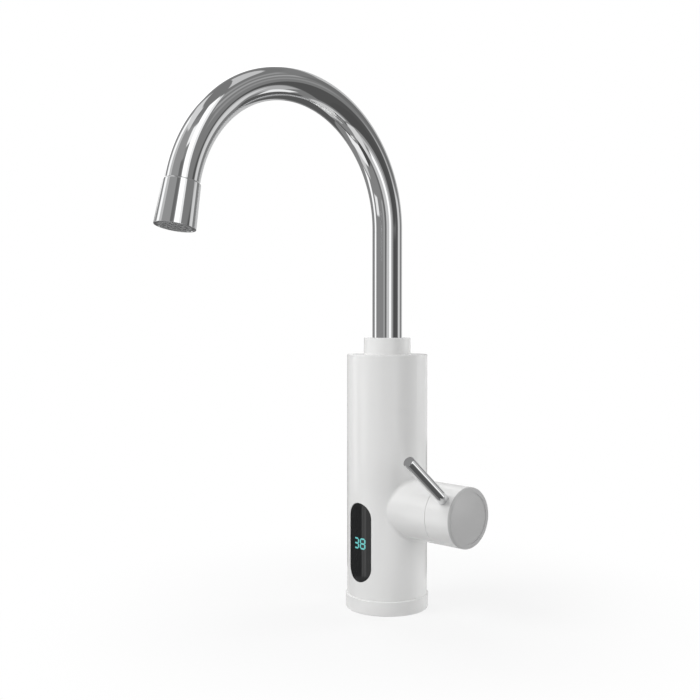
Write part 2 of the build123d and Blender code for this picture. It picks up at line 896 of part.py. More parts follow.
def lid_screws():
    grip = lid_h + flange_h
    one = screw(lid_screw_r, lid_screw_head_r, lid_screw_head_h, grip, lid_screw_key)
    places = around(lid_screw_circle_r, evenly(lid_screw_count))
    return [place * Pos(0, 0, lid_top) * upside_down(one) for place in places]


def coil_edge():
    """The middle line of one of the two windings, from the floor of the tank up."""
    height = coil_top - coil_bottom
    return Pos(0, 0, coil_bottom) * Helix(height / coil_turns, height, coil_r)


def elbow_end():
    """Where a winding that leaves its coil has bent straight up."""
    winding = coil_edge()
    start, along = winding @ 1, winding % 1
    across = (Vector(0, 0, 1) - along * along.Z).normalized()
    angle = acos(along.Z)
    centre = start + across * elbow_r
    middle = centre - across * (elbow_r * cos(angle / 2)) + along * (elbow_r * sin(angle / 2))
    end = centre - across * (elbow_r * cos(angle)) + along * (elbow_r * sin(angle))
    return start, middle, end


def leg_ends():
    """Where the two legs of the heating element stand."""
    end = elbow_end()[2]
    return [end, Vector(-end.X, -end.Y, end.Z)]


def tube_along(path):
    """The heating element's tube along one edge."""
    section = Plane(origin=path @ 0, z_dir=path % 0) * Circle(coil_tube_r)
    return sweep(section, path=path, is_frenet=True)


def heating_element():
    """A two-start coil: its windings join in an S on the floor of the tank and leave by the lid."""
    start, middle, end = elbow_end()
    winding = tube_along(coil_edge()) + tube_along(ThreePointArc(start, middle, end))
    winding += Pos(end.X, end.Y, 0) * rod(coil_tube_r, end.Z, lid_top + leg_over)
    winding += Pos(coil_r, 0, coil_bottom) * Sphere(coil_tube_r)
    half_bridge = CenterArc((coil_r / 2, 0, coil_bottom), coil_r / 2, 180, 180)
    winding += tube_along(half_bridge)
    return winding + Rot(0, 0, 180) * winding


def element_bushes():
    bush = turned(
        (coil_tube_r + gap, tank_top),
        (coil_tube_r + bush_wall, tank_top),
        (coil_tube_r + bush_wall, lid_top),
        (coil_tube_r + bush_wall + bush_flange, lid_top),
        (coil_tube_r + bush_wall + bush_flange, lid_top + bush_h),
        (coil_tube_r + gap, lid_top + bush_h),
    )
    return [Pos(leg.X, leg.Y, 0) * bush for leg in leg_ends()]


def element_pins():
    top = lid_top + leg_over
    return [Pos(leg.X, leg.Y, 0) * rod(pin_r, top, top + pin_h) for leg in leg_ends()]


def temperature_probe():
    bulb = rod(probe_r, tank_top - probe_down, lid_top) + rod(probe_head_r, lid_top, lid_top + probe_up)
    return Pos(probe_x, 0, 0) * fillet(rim(bulb, probe_r, tank_top - probe_down), probe_r / 2)


def thermal_cutout():
    case = rod(cutout_r, tank_bottom - cutout_h, tank_bottom)
    for side in (-1, 1):
        tab_z = tank_bottom - cutout_h - cutout_tab[2] / 2
        case += block(cutout_tab, (side * cutout_tab_x, 0, tab_z))
    return Pos(cutout_x, 0, 0) * case


# Spout seat and collar
def spout_socket():
    flange_top = column_top - top_wall
    flange_bottom = flange_top - socket_flange_h
    neck_top = column_top + socket_neck
    socket = turned(
        (lid_neck_r + gap, socket_bottom),
        (socket_hub_r, socket_bottom),
        (socket_hub_r, nose_top - 2 * socket_cone),
        (socket_neck_r, nose_top - socket_cone),
        (socket_neck_r, flange_bottom),
        (socket_flange_r, flange_bottom),
        (socket_flange_r, flange_top),
        (socket_neck_r, flange_top),
        (socket_neck_r, neck_top),
        (socket_bore_r, neck_top),
        (socket_bore_r, nose_top),
        (nose_r + gap, nose_top),
        (nose_r + gap, nose_top - nose_length - free),
        (foot_bore_r, nose_top - nose_length - free),
        (foot_bore_r, socket_bottom + lid_neck_grip + gap),
        (lid_neck_r + gap, socket_bottom + lid_neck_grip + gap),
    )
    return socket


def spout_bush():
    roof = collar_end - collar_roof
    bush = ring(bush_out_r, bush_in_r, foot_top + gap, roof - gap)
    slit = block((2 * bush_out_r, bush_slit, 2 * collar_end), (bush_out_r, 0, 0))
    return bush - slit


def spout_collar():
    roof = collar_end - collar_roof
    collar = turned(
        (collar_in_r, column_top),
        (collar_r, column_top),
        (collar_r, collar_end),
        (tube_r + free, collar_end),
        (tube_r + free, roof),
        (collar_in_r, roof),
    )
    return fillet(rim(collar, collar_r, collar_end), edge_round)


# Spout
def spout_foot():
    foot = turned(
        (foot_bore_r, nose_top - nose_length),
        (nose_r, nose_top - nose_length),
        (nose_r, nose_top + gap),
        (bush_out_r - 2 * gap, nose_top + gap),
        (bush_out_r - 2 * gap, foot_top),
        (tube_r - tube_wall - gap, foot_top),
        (tube_r - tube_wall - gap, foot_top + foot_spigot),
        (foot_bore_r, foot_top + foot_spigot),
    )
    for drop in foot_ring_drops:
        foot -= ring_groove(nose_r, foot_ring_section, nose_top - drop)
    return foot


def foot_o_rings():
    bore_r = nose_r + gap
    return [sealing_ring(bore_r, foot_ring_section, nose_top - drop) for drop in foot_ring_drops]


def spout_tube():
    section = Circle(tube_r) - Circle(tube_r - tube_wall)
    rise = extrude(Pos(0, 0, foot_top) * section, amount=spout_rise - foot_top)
    bend_axis = Axis((0, -spout_bend_r, spout_rise), (1, 0, 0))
    bend = revolve(Pos(0, 0, spout_rise) * section, axis=bend_axis, revolution_arc=spout_turn)
    return rise + bend + outlet_place * extrude(section, amount=sleeve_grip)


def outlet_sleeve():
    top_r = tube_r + sleeve_over
    sleeve = turned(
        (tube_r + gap, 0),
        (tube_r + gap + sleeve_land, 0),
        (top_r, sleeve_edge),
        (top_r + sleeve_flare, sleeve_length),
        (aerator_r + gap, sleeve_length),
        (aerator_r + gap, sleeve_grip + sleeve_web),
        (sleeve_web_in_r, sleeve_grip + sleeve_web),
        (sleeve_web_in_r, sleeve_grip),
        (tube_r + gap, sleeve_grip),
    )
    return outlet_place * fillet(rim(sleeve, top_r + sleeve_flare, sleeve_length), sleeve_round)


def aerator_washer():
    start = sleeve_grip + sleeve_web
    return outlet_place * ring(aerator_r, washer_in_r, start, start + washer_h)


def aerator_ring():
    return outlet_place * ring(aerator_r, aerator_r - aerator_wall, aerator_x, outlet_face)


def aerator_insert():
    """The plastic insert that breaks the water into jets."""
    outer = aerator_r - aerator_wall - gap
    insert = rod(outer, outlet_face - insert_h, outlet_face)
    insert -= rod(outer - insert_wall, outlet_face - insert_h, outlet_face - insert_floor)
    for radius, count in jet_rings:
        for place in around(radius, evenly(count)):
            insert -= place * rod(jet_r, outlet_face - insert_floor, outlet_face)
    return outlet_place * insert


makers = (
    body_shell,
    base_ring,
    base_seal,
    base_plate,
    stud_inserts,
    base_screws,
    cable_grommet,
    inlet_fitting,
    inlet_locknut,
    inlet_filter,
    flow_switch_body,
    reed_switch,
    flow_float,
    valve_body,
    triac,
    triac_screw,
    port_o_rings,
    seat_seal,
    headwork_body,
    fixed_disc,
    moving_disc,
    spindle,
    spindle_o_rings,
    spindle_clip,
    boss_cover,
    handle_knob,
    knob_screw,
    knob_cap,
    lever_rod,
    display_window,
    display_board,
    digit_display,
    control_board,
    relay,
    terminal_block,
    capacitor,
    heater_tank,
    tank_o_ring,
    tank_lid,
    lid_screws,
    heating_element,
    element_bushes,
    element_pins,
    temperature_probe,
    thermal_cutout,
    spout_socket,
    spout_bush,
    spout_collar,
    spout_foot,
    foot_o_rings,
    spout_tube,
    outlet_sleeve,
    aerator_washer,
    aerator_ring,
    aerator_insert,
)

os.makedirs("parts", exist_ok=True)
for maker in makers:
    made = maker()
    piece = Compound(children=made) if isinstance(made, list) else made
    export_step(piece, f"parts/{maker.__name__}.step")
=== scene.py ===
# %% [markdown]
# # Electric instant water heater tap
#
# A white column stands on the worktop and holds a small flow heater. A lever at its side opens
# the water, a dark window shows its temperature, and a chrome swan-neck spout swivels on top.
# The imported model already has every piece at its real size, so this script loads it as a fixed
# frame. It then adds what a model of plain solids lacks: finishes, threads, the lit digits, and
# the studio that the tap is looked at in. Lengths are in metres.

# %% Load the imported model
import json
from math import atan2, cos, pi, radians, sin

import bpy
import numpy as np
from mathutils import Matrix, Vector


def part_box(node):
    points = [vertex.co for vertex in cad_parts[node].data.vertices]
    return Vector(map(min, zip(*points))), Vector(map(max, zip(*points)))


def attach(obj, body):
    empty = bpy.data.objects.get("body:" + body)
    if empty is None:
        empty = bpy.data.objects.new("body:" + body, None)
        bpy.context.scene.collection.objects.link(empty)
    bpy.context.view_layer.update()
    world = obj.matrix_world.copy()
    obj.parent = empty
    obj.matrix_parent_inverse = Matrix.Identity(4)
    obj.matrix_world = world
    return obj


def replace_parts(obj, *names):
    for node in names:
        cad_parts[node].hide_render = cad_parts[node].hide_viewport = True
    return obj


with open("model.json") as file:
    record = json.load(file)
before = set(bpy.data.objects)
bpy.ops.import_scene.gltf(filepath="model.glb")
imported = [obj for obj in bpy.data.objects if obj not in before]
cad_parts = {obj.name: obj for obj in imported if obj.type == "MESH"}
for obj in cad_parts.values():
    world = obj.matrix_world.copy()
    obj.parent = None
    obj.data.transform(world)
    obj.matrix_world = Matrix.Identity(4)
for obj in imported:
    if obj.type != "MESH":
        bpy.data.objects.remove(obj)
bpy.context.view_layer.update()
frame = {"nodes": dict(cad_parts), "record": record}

nodes = frame["nodes"]
mm = 0.001

# %% [markdown]
# ## The camera
#
# The photograph looks at the tap from its front right corner, a little over half way up, with a
# normal lens. Looking along the worktop's plane like this keeps the column's sides upright. The
# camera is placed by its distance, its height and its step to the side, because each of those
# can be changed by itself when the framing is compared.

# %% Place the camera
camera_turn = radians(46.18)  # from straight in front, round towards the handle
camera_distance = 728.1 * mm
camera_step = -27.85 * mm  # to its own right
camera_height = 209.03 * mm
camera_tilt = radians(1.336)  # downwards
lens_mm = 50.0

outward = Vector((sin(camera_turn), -cos(camera_turn), 0))
rightward = Vector((cos(camera_turn), sin(camera_turn), 0))
upright = Vector((0, 0, 1))
look_back = outward * cos(camera_tilt) + upright * sin(camera_tilt)
look_up = upright * cos(camera_tilt) - outward * sin(camera_tilt)

camera_data = bpy.data.cameras.new("camera")
camera_data.lens = lens_mm
camera = bpy.data.objects.new("camera", camera_data)
bpy.context.scene.collection.objects.link(camera)
camera.matrix_world = Matrix.Translation(
    outward * camera_distance + rightward * camera_step + upright * camera_height
) @ Matrix((rightward, look_up, look_back)).transposed().to_4x4()
bpy.context.scene.camera = camera
print("camera stands at", [round(c, 3) for c in camera.matrix_world.translation])

# %% [markdown]
# ## A few helpers for shaders
#
# Each finish below is one Principled shader fed by a few texture nodes. These helpers only make
# nodes and wires shorter to write. Every pattern reads Object coordinates. All the pieces share
# one origin, so a texture of a given scale has the same grain size on each of them.

# %% Make nodes and wires
def add_node(tree, kind, **values):
    """A new shader node. Values named after an input set it, and all others are properties."""
    made = tree.nodes.new(kind)
    for key, value in values.items():
        label = key.replace("_", " ")
        if label in made.inputs:
            made.inputs[label].default_value = value
        else:
            setattr(made, key, value)
    return made


def wire(tree, source, target):
    """Joins one output socket to one input socket."""
    tree.links.new(source, target)


def new_finish(name):
    """An empty material: returns it, its node tree and its Principled shader."""
    material = bpy.data.materials.new(name)
    material.use_nodes = True
    return material, material.node_tree, material.node_tree.nodes["Principled BSDF"]


def new_group(name, inputs, outputs):
    """An empty shader node group with float sockets, and its inner input and output nodes."""
    group = bpy.data.node_groups.new(name, "ShaderNodeTree")
    for label, value in inputs.items():
        socket = group.interface.new_socket(label, in_out="INPUT", socket_type="NodeSocketFloat")
        socket.default_value = value
    for label in outputs:
        group.interface.new_socket(label, in_out="OUTPUT", socket_type="NodeSocketFloat")
    return group, group.nodes.new("NodeGroupInput"), group.nodes.new("NodeGroupOutput")


def place_group(tree, group, **values):
    """Places a group in a material, with its own values."""
    made = tree.nodes.new("ShaderNodeGroup")
    made.node_tree = group
    for key, value in values.items():
        made.inputs[key.replace("_", " ")].default_value = value
    return made

# %% [markdown]
# ## Three effects that several finishes share
#
# Injection-moulded plastic is never quite flat: it has a faint grain from the mould. Anything
# that hands touch has soft marks where the skin's oil changes the gloss. Polished metal has hair
# lines from wiping, which only show where they spread a highlight. Each of them is one node
# group that puts out a plain number, so that a material can use it for its colour, its roughness
# or its bumps.

# %% Mould grain
def grain_group():
    """Fine noise, as a height from 0 to 1: bumps of about one over Scale metres."""
    group, given, result = new_group("mould_grain", {"Scale": 900.0}, ["Height"])
    place = add_node(group, "ShaderNodeTexCoord")
    noise = add_node(group, "ShaderNodeTexNoise", Detail=3.0, Roughness=0.55)
    wire(group, place.outputs["Object"], noise.inputs["Vector"])
    wire(group, given.outputs["Scale"], noise.inputs["Scale"])
    wire(group, noise.outputs["Fac"], result.inputs["Height"])
    return group


grain = grain_group()

# %% Handling marks
def marks_group():
    """Soft patches, 0 where clean and 1 where handled most: a warped noise that rises in a soft
    step from 1 - Cover to 0.85."""
    group, given, result = new_group("handling_marks", {"Scale": 45.0, "Cover": 0.5}, ["Mask"])
    place = add_node(group, "ShaderNodeTexCoord")
    noise = add_node(group, "ShaderNodeTexNoise", Detail=4.0, Roughness=0.6, Distortion=0.8)
    floor_of_mask = add_node(group, "ShaderNodeMath", operation="SUBTRACT", use_clamp=True)
    floor_of_mask.inputs[0].default_value = 1.0
    limits = add_node(group, "ShaderNodeMapRange", interpolation_type="SMOOTHSTEP", From_Max=0.85)
    wire(group, place.outputs["Object"], noise.inputs["Vector"])
    wire(group, given.outputs["Scale"], noise.inputs["Scale"])
    wire(group, given.outputs["Cover"], floor_of_mask.inputs[1])
    wire(group, floor_of_mask.outputs[0], limits.inputs["From Min"])
    wire(group, noise.outputs["Fac"], limits.inputs["Value"])
    wire(group, limits.outputs["Result"], result.inputs["Mask"])
    return group


marks = marks_group()

# %% Hair lines
def hairline_group():
    """Thin bright lines in two slanted directions: noise squeezed hard across each of them."""
    group, given, result = new_group("hair_lines", {"Scale": 60.0}, ["Mask"])
    place = add_node(group, "ShaderNodeTexCoord")
    previous = None
    for turn, squeeze in ((0.5, 40.0), (-0.9, 55.0)):  # radians, and times as thin as long
        turned = add_node(group, "ShaderNodeMapping", Rotation=(turn, turn * 0.6, turn * 0.3))
        turned.inputs["Scale"].default_value = (squeeze, squeeze, 1.0)
        noise = add_node(group, "ShaderNodeTexNoise", Detail=1.0)
        sharp = add_node(group, "ShaderNodeMapRange", From_Min=0.62, From_Max=0.75)
        wire(group, place.outputs["Object"], turned.inputs["Vector"])
        wire(group, turned.outputs["Vector"], noise.inputs["Vector"])
        wire(group, given.outputs["Scale"], noise.inputs["Scale"])
        wire(group, noise.outputs["Fac"], sharp.inputs["Value"])
        if previous:
            both = add_node(group, "ShaderNodeMath", operation="MAXIMUM")
            wire(group, previous.outputs["Result"], both.inputs[0])
            wire(group, sharp.outputs["Result"], both.inputs[1])
            wire(group, both.outputs[0], result.inputs["Mask"])
        previous = sharp
    return group


hairlines = hairline_group()
print("node groups:", [g.name for g in bpy.data.node_groups])

# %% [markdown]
# ## The finishes
#
# All of them are built by one function, because they differ only in their numbers: a colour and
# a second colour that patches of it drift towards, a gloss that handling marks change, and a
# grain. The Principled shader's single-number sockets, such as Metallic, are set directly.

# %% One recipe for every finish
def blend_value(tree, mask, low, high):
    """A number that goes from low to high as the mask goes from 0 to 1."""
    spread = add_node(tree, "ShaderNodeMapRange", To_Min=low, To_Max=high)
    wire(tree, mask, spread.inputs["Value"])
    return spread.outputs["Result"]


mix_a, mix_b, mix_result = 6, 7, 2  # the numbers of a Mix node's sockets when it mixes colours


def finish(name, colour, drift, gloss, metallic=0.0, grain_scale=900.0, grain_depth=0.0,
           marks_scale=45.0, cover=0.5, line_gloss=0.0):
    """A finish. gloss is its roughness where clean and where handled; depths are in metres."""
    material, tree, shader = new_finish(name)
    shader.inputs["Metallic"].default_value = metallic
    mask = place_group(tree, marks, Scale=marks_scale, Cover=cover).outputs["Mask"]
    colours = add_node(tree, "ShaderNodeMix", data_type="RGBA")
    colours.inputs[mix_a].default_value = (*colour, 1.0)
    colours.inputs[mix_b].default_value = (*drift, 1.0)
    wire(tree, mask, colours.inputs["Factor"])
    wire(tree, colours.outputs[mix_result], shader.inputs["Base Color"])
    rough = blend_value(tree, mask, *gloss)
    if line_gloss:
        lines = place_group(tree, hairlines).outputs["Mask"]
        added = add_node(tree, "ShaderNodeMath", operation="MULTIPLY_ADD")
        added.inputs[1].default_value = line_gloss
        wire(tree, lines, added.inputs[0])
        wire(tree, rough, added.inputs[2])
        rough = added.outputs[0]
    wire(tree, rough, shader.inputs["Roughness"])
    if grain_depth:
        height = place_group(tree, grain, Scale=grain_scale).outputs["Height"]
        bumps = add_node(tree, "ShaderNodeBump", Strength=1.0, Distance=grain_depth)
        wire(tree, height, bumps.inputs["Height"])
        wire(tree, bumps.outputs["Normal"], shader.inputs["Normal"])
    return material

# %% [markdown]
# ### Outside finishes
#
# The column is glossy white plastic, which mirrors the studio softly. The spout, the sleeve and
# the lever are polished chrome plate, whose colour is almost all reflection. The window is
# smoked acrylic: nearly black, with a hard gloss.

# %% Outside finishes
finishes = {
    "white_shell": finish(
        "white_plastic", (0.79, 0.79, 0.785), (0.775, 0.775, 0.77), (0.15, 0.23),
        grain_scale=700.0, grain_depth=0.000003, marks_scale=38.0, cover=0.45,
    ),
    "cap_plastic": finish(
        "grey_end_plastic", (0.48, 0.48, 0.48), (0.46, 0.46, 0.46), (0.3, 0.38),
        grain_scale=700.0, grain_depth=0.000003, marks_scale=38.0, cover=0.45,
    ),
    "chrome": finish(
        "chrome_plate", (0.80, 0.805, 0.81), (0.77, 0.775, 0.78), (0.035, 0.075),
        metallic=1.0, marks_scale=55.0, cover=0.4, line_gloss=0.03,
    ),
    "display_lens": finish(
        "smoked_acrylic", (0.019, 0.0195, 0.02), (0.023, 0.0235, 0.024), (0.05, 0.12),
        marks_scale=90.0, cover=0.45, line_gloss=0.04,
    ),
    "outlet_insert": finish(
        "grey_outlet_plastic", (0.26, 0.262, 0.265), (0.23, 0.232, 0.235), (0.5, 0.62),
        grain_scale=2500.0, grain_depth=0.00001,
    ),
}

# %% [markdown]
# ### Inside and underneath
#
# Turning the tap over shows brass, rubber, nylon and plain steel. What is shut inside gets its
# own finish too, because the pieces may be looked at apart.

# %% Inside finishes
finishes.update({
    "rubber": finish(
        "black_rubber", (0.022, 0.022, 0.023), (0.035, 0.034, 0.033), (0.6, 0.78),
        grain_scale=1800.0, grain_depth=0.00002, cover=0.55,
    ),
    "brass": finish(
        "turned_brass", (0.72, 0.52, 0.24), (0.62, 0.43, 0.2), (0.24, 0.4),
        metallic=1.0, grain_scale=1500.0, grain_depth=0.000004, line_gloss=0.12,
    ),
    "steel": finish(
        "drawn_steel", (0.6, 0.605, 0.61), (0.54, 0.545, 0.55), (0.26, 0.38),
        metallic=1.0, grain_scale=1500.0, grain_depth=0.000004, line_gloss=0.12,
    ),
    "black_nylon": finish(
        "black_nylon", (0.03, 0.03, 0.032), (0.04, 0.04, 0.042), (0.48, 0.62),
        grain_scale=1600.0, grain_depth=0.00002,
    ),
    "pale_nylon": finish(
        "pale_nylon", (0.72, 0.69, 0.6), (0.66, 0.63, 0.54), (0.42, 0.55),
        grain_scale=1600.0, grain_depth=0.00001,
    ),
    "ceramic": finish(
        "sintered_ceramic", (0.84, 0.83, 0.79), (0.8, 0.79, 0.75), (0.2, 0.35),
        grain_scale=2600.0, grain_depth=0.000006,
    ),
    "circuit_board": finish(
        "green_circuit_board", (0.012, 0.12, 0.05), (0.01, 0.095, 0.04), (0.28, 0.4),
        grain_scale=1200.0, grain_depth=0.00001,
    ),
    "terminal_plastic": finish(
        "green_terminal_plastic", (0.03, 0.27, 0.1), (0.025, 0.23, 0.085), (0.35, 0.45),
        grain_scale=1600.0, grain_depth=0.00001,
    ),
    "display_lamp": finish(
        "display_case", (0.02, 0.05, 0.055), (0.018, 0.045, 0.05), (0.25, 0.35),
    ),
})
print(len(finishes), "finishes")

# %% [markdown]
# ### Each node gets its finish
#
# The record names a slot for each node, and each slot has one finish. One node differs: the ring
# that holds the outlet's insert is plated too, but blasted dull, as such rings are.

# %% Give every node the finish of its slot
for part in frame["record"]["subparts"]:
    mesh = nodes[part["node"]].data
    mesh.materials.clear()
    mesh.materials.append(finishes[part["material_slot"]])
nodes["aerator_ring"].data.materials[0] = finish(
    "satin_plate", (0.34, 0.342, 0.345), (0.3, 0.302, 0.305), (0.45, 0.55), metallic=1.0,
)

# %% [markdown]
# ## How a new piece becomes a mesh
#
# Every new piece is a surface worked out as one array of points: rows along one direction and
# columns along the other. The quads follow from the array's shape alone, so one helper can turn
# any such grid into a mesh. Closed directions join their last column to their first.

# %% Turn grids of points into meshes
def grid_faces(rows, columns, close_rows=False, close_columns=False):
    """Quads of a grid whose points are numbered row by row: each is (a, a+1, next row's two)."""
    row = np.arange(rows if close_rows else rows - 1)
    column = np.arange(columns if close_columns else columns - 1)
    r, c = np.meshgrid(row, column, indexing="ij")
    r2, c2 = (r + 1) % rows, (c + 1) % columns
    corners = [r * columns + c, r * columns + c2, r2 * columns + c2, r2 * columns + c]
    return np.stack(corners, axis=-1).reshape(-1, 4)


def mesh_piece(name, points, faces, material, smooth=True):
    """One object from an array of points and an array of quads."""
    mesh = bpy.data.meshes.new(name)
    mesh.from_pydata(points.reshape(-1, 3), [], faces)
    mesh.polygons.foreach_set("use_smooth", np.full(len(mesh.polygons), smooth))
    mesh.materials.append(material)
    piece = bpy.data.objects.new(name, mesh)
    bpy.context.scene.collection.objects.link(piece)
    return piece

# %% [markdown]
# ## Fine turned surfaces
#
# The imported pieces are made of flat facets. On plastic nobody sees them, but chrome breaks its
# mirror image at every edge. The chrome spout and sleeve are therefore worked out again, on the
# same sizes, from an outline of radius and height whose sides are cut into short steps and whose
# corners are a little rounded, so that they catch the light. Brass that is tapped gets its
# thread in the same way.

# %% Work with outlines of (radius, height)
def soft_step(x):
    """0 below 0, 1 above 1, and the curve 3 x squared minus 2 x cubed between them."""
    x = np.clip(x, 0.0, 1.0)
    return x * x * (3 - 2 * x)


def round_outline(corners, cut, steps=6):
    """A closed outline with rounded corners: a parabola from cut before each corner to cut after
    it, and one more point beyond each end, which keeps the shading of the flat sides flat."""
    corner = np.array(corners)
    to_last, to_next = np.roll(corner, 1, axis=0) - corner, np.roll(corner, -1, axis=0) - corner
    to_last /= np.linalg.norm(to_last, axis=1, keepdims=True)
    to_next /= np.linalg.norm(to_next, axis=1, keepdims=True)
    share = np.linspace(0, 1, steps)
    last_part = np.r_[1.4, (1 - share) ** 2, 0.0][:, None]
    next_part = np.r_[0.0, share ** 2, 1.4][:, None]
    cut = np.broadcast_to(cut, len(corner))[:, None, None]
    rows = corner[:, None] + cut * (last_part * to_last[:, None] + next_part * to_next[:, None])
    return rows.reshape(-1, 2)


def divide(outline, step):
    """The same closed outline with every side cut into equal pieces no longer than step."""
    side = np.roll(outline, -1, axis=0) - outline
    pieces = np.maximum(np.ceil(np.linalg.norm(side, axis=1) / step), 1).astype(int)
    start = np.repeat(np.arange(len(outline)), pieces)
    count = np.arange(len(start)) - np.repeat(np.cumsum(pieces) - pieces, pieces)
    return outline[start] + (count / pieces[start])[:, None] * side[start]


def circles(radius, height, columns):
    """Circles about Z, one for each row. radius may also differ from point to point round them."""
    turn = np.linspace(0, 2 * pi, columns, endpoint=False)
    x, y = radius * np.cos(turn), radius * np.sin(turn)
    return np.stack([x, y, height + 0 * x], axis=-1)


def turned_piece(name, points, node, body, slot):
    """Closes rings of points into a solid that stands for one node and rides on its body."""
    rows, columns = points.shape[:2]
    faces = grid_faces(rows, columns, close_rows=True, close_columns=True)
    piece = mesh_piece(name, points, faces, finishes[slot])
    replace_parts(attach(piece, body), node)
    print(name, "has", len(faces), "faces")

# %% Sweep the spout
spout_rise = 281.6 * mm  # height where the bend starts
bend_r = 91.9 * mm
bend_turn = radians(169)
bend_end = spout_rise + bend_r * bend_turn  # measured along the spout's line
tube_r, tube_bore_r = 11.05 * mm, 10.05 * mm
tube_step, tube_columns = 1.6 * mm, 160  # the size of its facets along it, and how many round it
sleeve_grip = 14.0 * mm


def along_spout(rings):
    """Carries rings about Z over to the spout's line: height becomes the way along that line,
    which is straight up, then a circle's arc of radius bend_r, then straight again."""
    way = rings[..., 2]
    turn = np.clip((way - spout_rise) / bend_r, 0, bend_turn)
    before = np.minimum(way, spout_rise)
    after = np.maximum(way - bend_end, 0)
    y = -bend_r * (1 - np.cos(turn)) - after * np.sin(turn) + rings[..., 1] * np.cos(turn)
    z = before + bend_r * np.sin(turn) + after * np.cos(turn) + rings[..., 1] * np.sin(turn)
    return np.stack([rings[..., 0], y, z], axis=-1)


tube_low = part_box("spout_tube")[0].z
tube_outline = divide(round_outline(
    [(tube_r, tube_low), (tube_r, bend_end + sleeve_grip),
     (tube_bore_r, bend_end + sleeve_grip), (tube_bore_r, tube_low)],
    0.1 * mm,
), tube_step)
tube_rings = circles(tube_outline[:, :1], tube_outline[:, 1:], tube_columns)
turned_piece("fine_spout_tube", along_spout(tube_rings), "spout_tube", "spout", "chrome")

# %% Turn the outlet sleeve
sleeve_step, sleeve_columns = 1.0 * mm, 192
sleeve_outline = np.array([
    (11.1, 0.0), (11.35, 0.0), (11.8, 0.7), (13.2, 29.0), (12.3, 29.0), (11.9, 28.6),
    (11.9, 15.5), (9.6, 15.5), (9.6, 14.0), (11.1, 14.0),
]) * mm + (0, bend_end)
sleeve_cuts = np.array([0.06, 0.06, 0.25, 0.2, 0.06, 0.06, 0.1, 0.1, 0.1, 0.1]) * mm
sleeve_outline = divide(round_outline(sleeve_outline, sleeve_cuts), sleeve_step)
sleeve_rings = circles(sleeve_outline[:, :1], sleeve_outline[:, 1:], sleeve_columns)
turned_piece("fine_outlet_sleeve", along_spout(sleeve_rings), "outlet_sleeve", "spout", "chrome")

# %% [markdown]
# ## Threads
#
# The plumber's hose screws into the tapped brass socket under the foot, and two long studs screw
# into the inserts beside it. An inside thread is a groove in the wall of its bore. It climbs one
# pitch with every turn, and it fades out before the bore's blind end.

# %% Cut threads
rows_per_pitch = 12
bore_slack = 0.01 * mm  # what lies this much inside the bore is narrower, and stays uncut


def threaded_piece(name, node, outline, cut, thread, places, columns=144):
    """Turned brass with a thread cut into its bore. The groove's depth is (1 - cosine) / 2 of the
    height in pitches minus the angle in turns, times the full depth, faded out over one pitch.
    thread holds the bore, the groove's root, the pitch, and the heights of the thread's ends."""
    bore_r, root_r, pitch, low, high = thread
    outline = divide(round_outline(np.array(outline) * mm, cut), pitch / rows_per_pitch)
    radius, height = outline[:, :1], outline[:, 1:]
    turn = np.arange(columns) / columns
    wave = (1 - np.cos(2 * pi * (height / pitch - turn))) / 2
    fade = soft_step((height - low) / pitch + 1) * soft_step((high - height) / pitch + 1)
    cut_r = np.maximum(radius, bore_r + (root_r - bore_r) * wave * fade)
    radius = np.where(radius < bore_r - bore_slack, radius, cut_r)
    rings = circles(radius, height, columns)
    points = np.stack([rings + (*place, 0) for place in places])
    rows = len(outline)
    faces = grid_faces(rows, columns, close_rows=True, close_columns=True)
    faces = np.arange(len(places))[:, None, None] * rows * columns + faces
    piece = mesh_piece(name, points, faces.reshape(-1, 4), finishes["brass"])
    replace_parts(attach(piece, "housing"), node)
    print(name, "has", len(faces) * len(faces[0]), "faces")


threaded_piece(
    "tapped_inlet", "inlet_fitting",
    [(10.7, 0.0), (13.5, 0.0), (13.5, 2.4), (11.2, 2.4), (11.2, 16.0), (8.0, 16.0), (8.0, 17.85),
     (6.8, 17.85), (6.8, 19.15), (8.0, 19.15), (8.0, 21.0), (4.5, 21.0), (4.5, 13.0), (8.6, 13.0),
     (8.6, 11.4), (9.3, 11.4), (9.3, 1.4)],
    cut=0.12 * mm,
    thread=(9.3 * mm, 10.48 * mm, 1.814 * mm, 0.0, 9.0 * mm),
    places=[(0, 0)],
)
threaded_piece(
    "tapped_stud_inserts", "stud_inserts",
    [(2.7, 2.4), (3.4, 2.4), (3.4, 9.4), (2.1, 9.4), (2.1, 3.0)],
    cut=0.08 * mm,
    thread=(2.1 * mm, 2.5 * mm, 0.8 * mm, 2.4 * mm, 9.4 * mm),
    places=[(-18.5 * mm, 0), (18.5 * mm, 0)],
    columns=72,
)

# %% [markdown]
# ## The lit digits
#
# Behind the smoked window sits a two-digit display, and the photograph shows it lit at 38
# degrees. Each digit is seven bars with pointed ends. A flat text object would cut into the
# curved window, so the bars are drawn in the plane first, as width across and height up, and
# then wrapped round the window's own curve, a hair proud of its face.

# %% Draw seven bars
window_face = 29.85 * mm  # the radius of the window's face
digit_proud = 0.03 * mm
digit_w, digit_h = 5.2 * mm, 8.2 * mm
bar_w = 1.15 * mm
bar_gap = 0.12 * mm
bar_point = 0.02 * mm  # half the width of a bar's tip
bar_slices = 14
digit_low = 47.1 * mm
digit_places = ((-2.15 * mm, "abcdg"), (3.85 * mm, "abcdefg"))  # a 3, then an 8


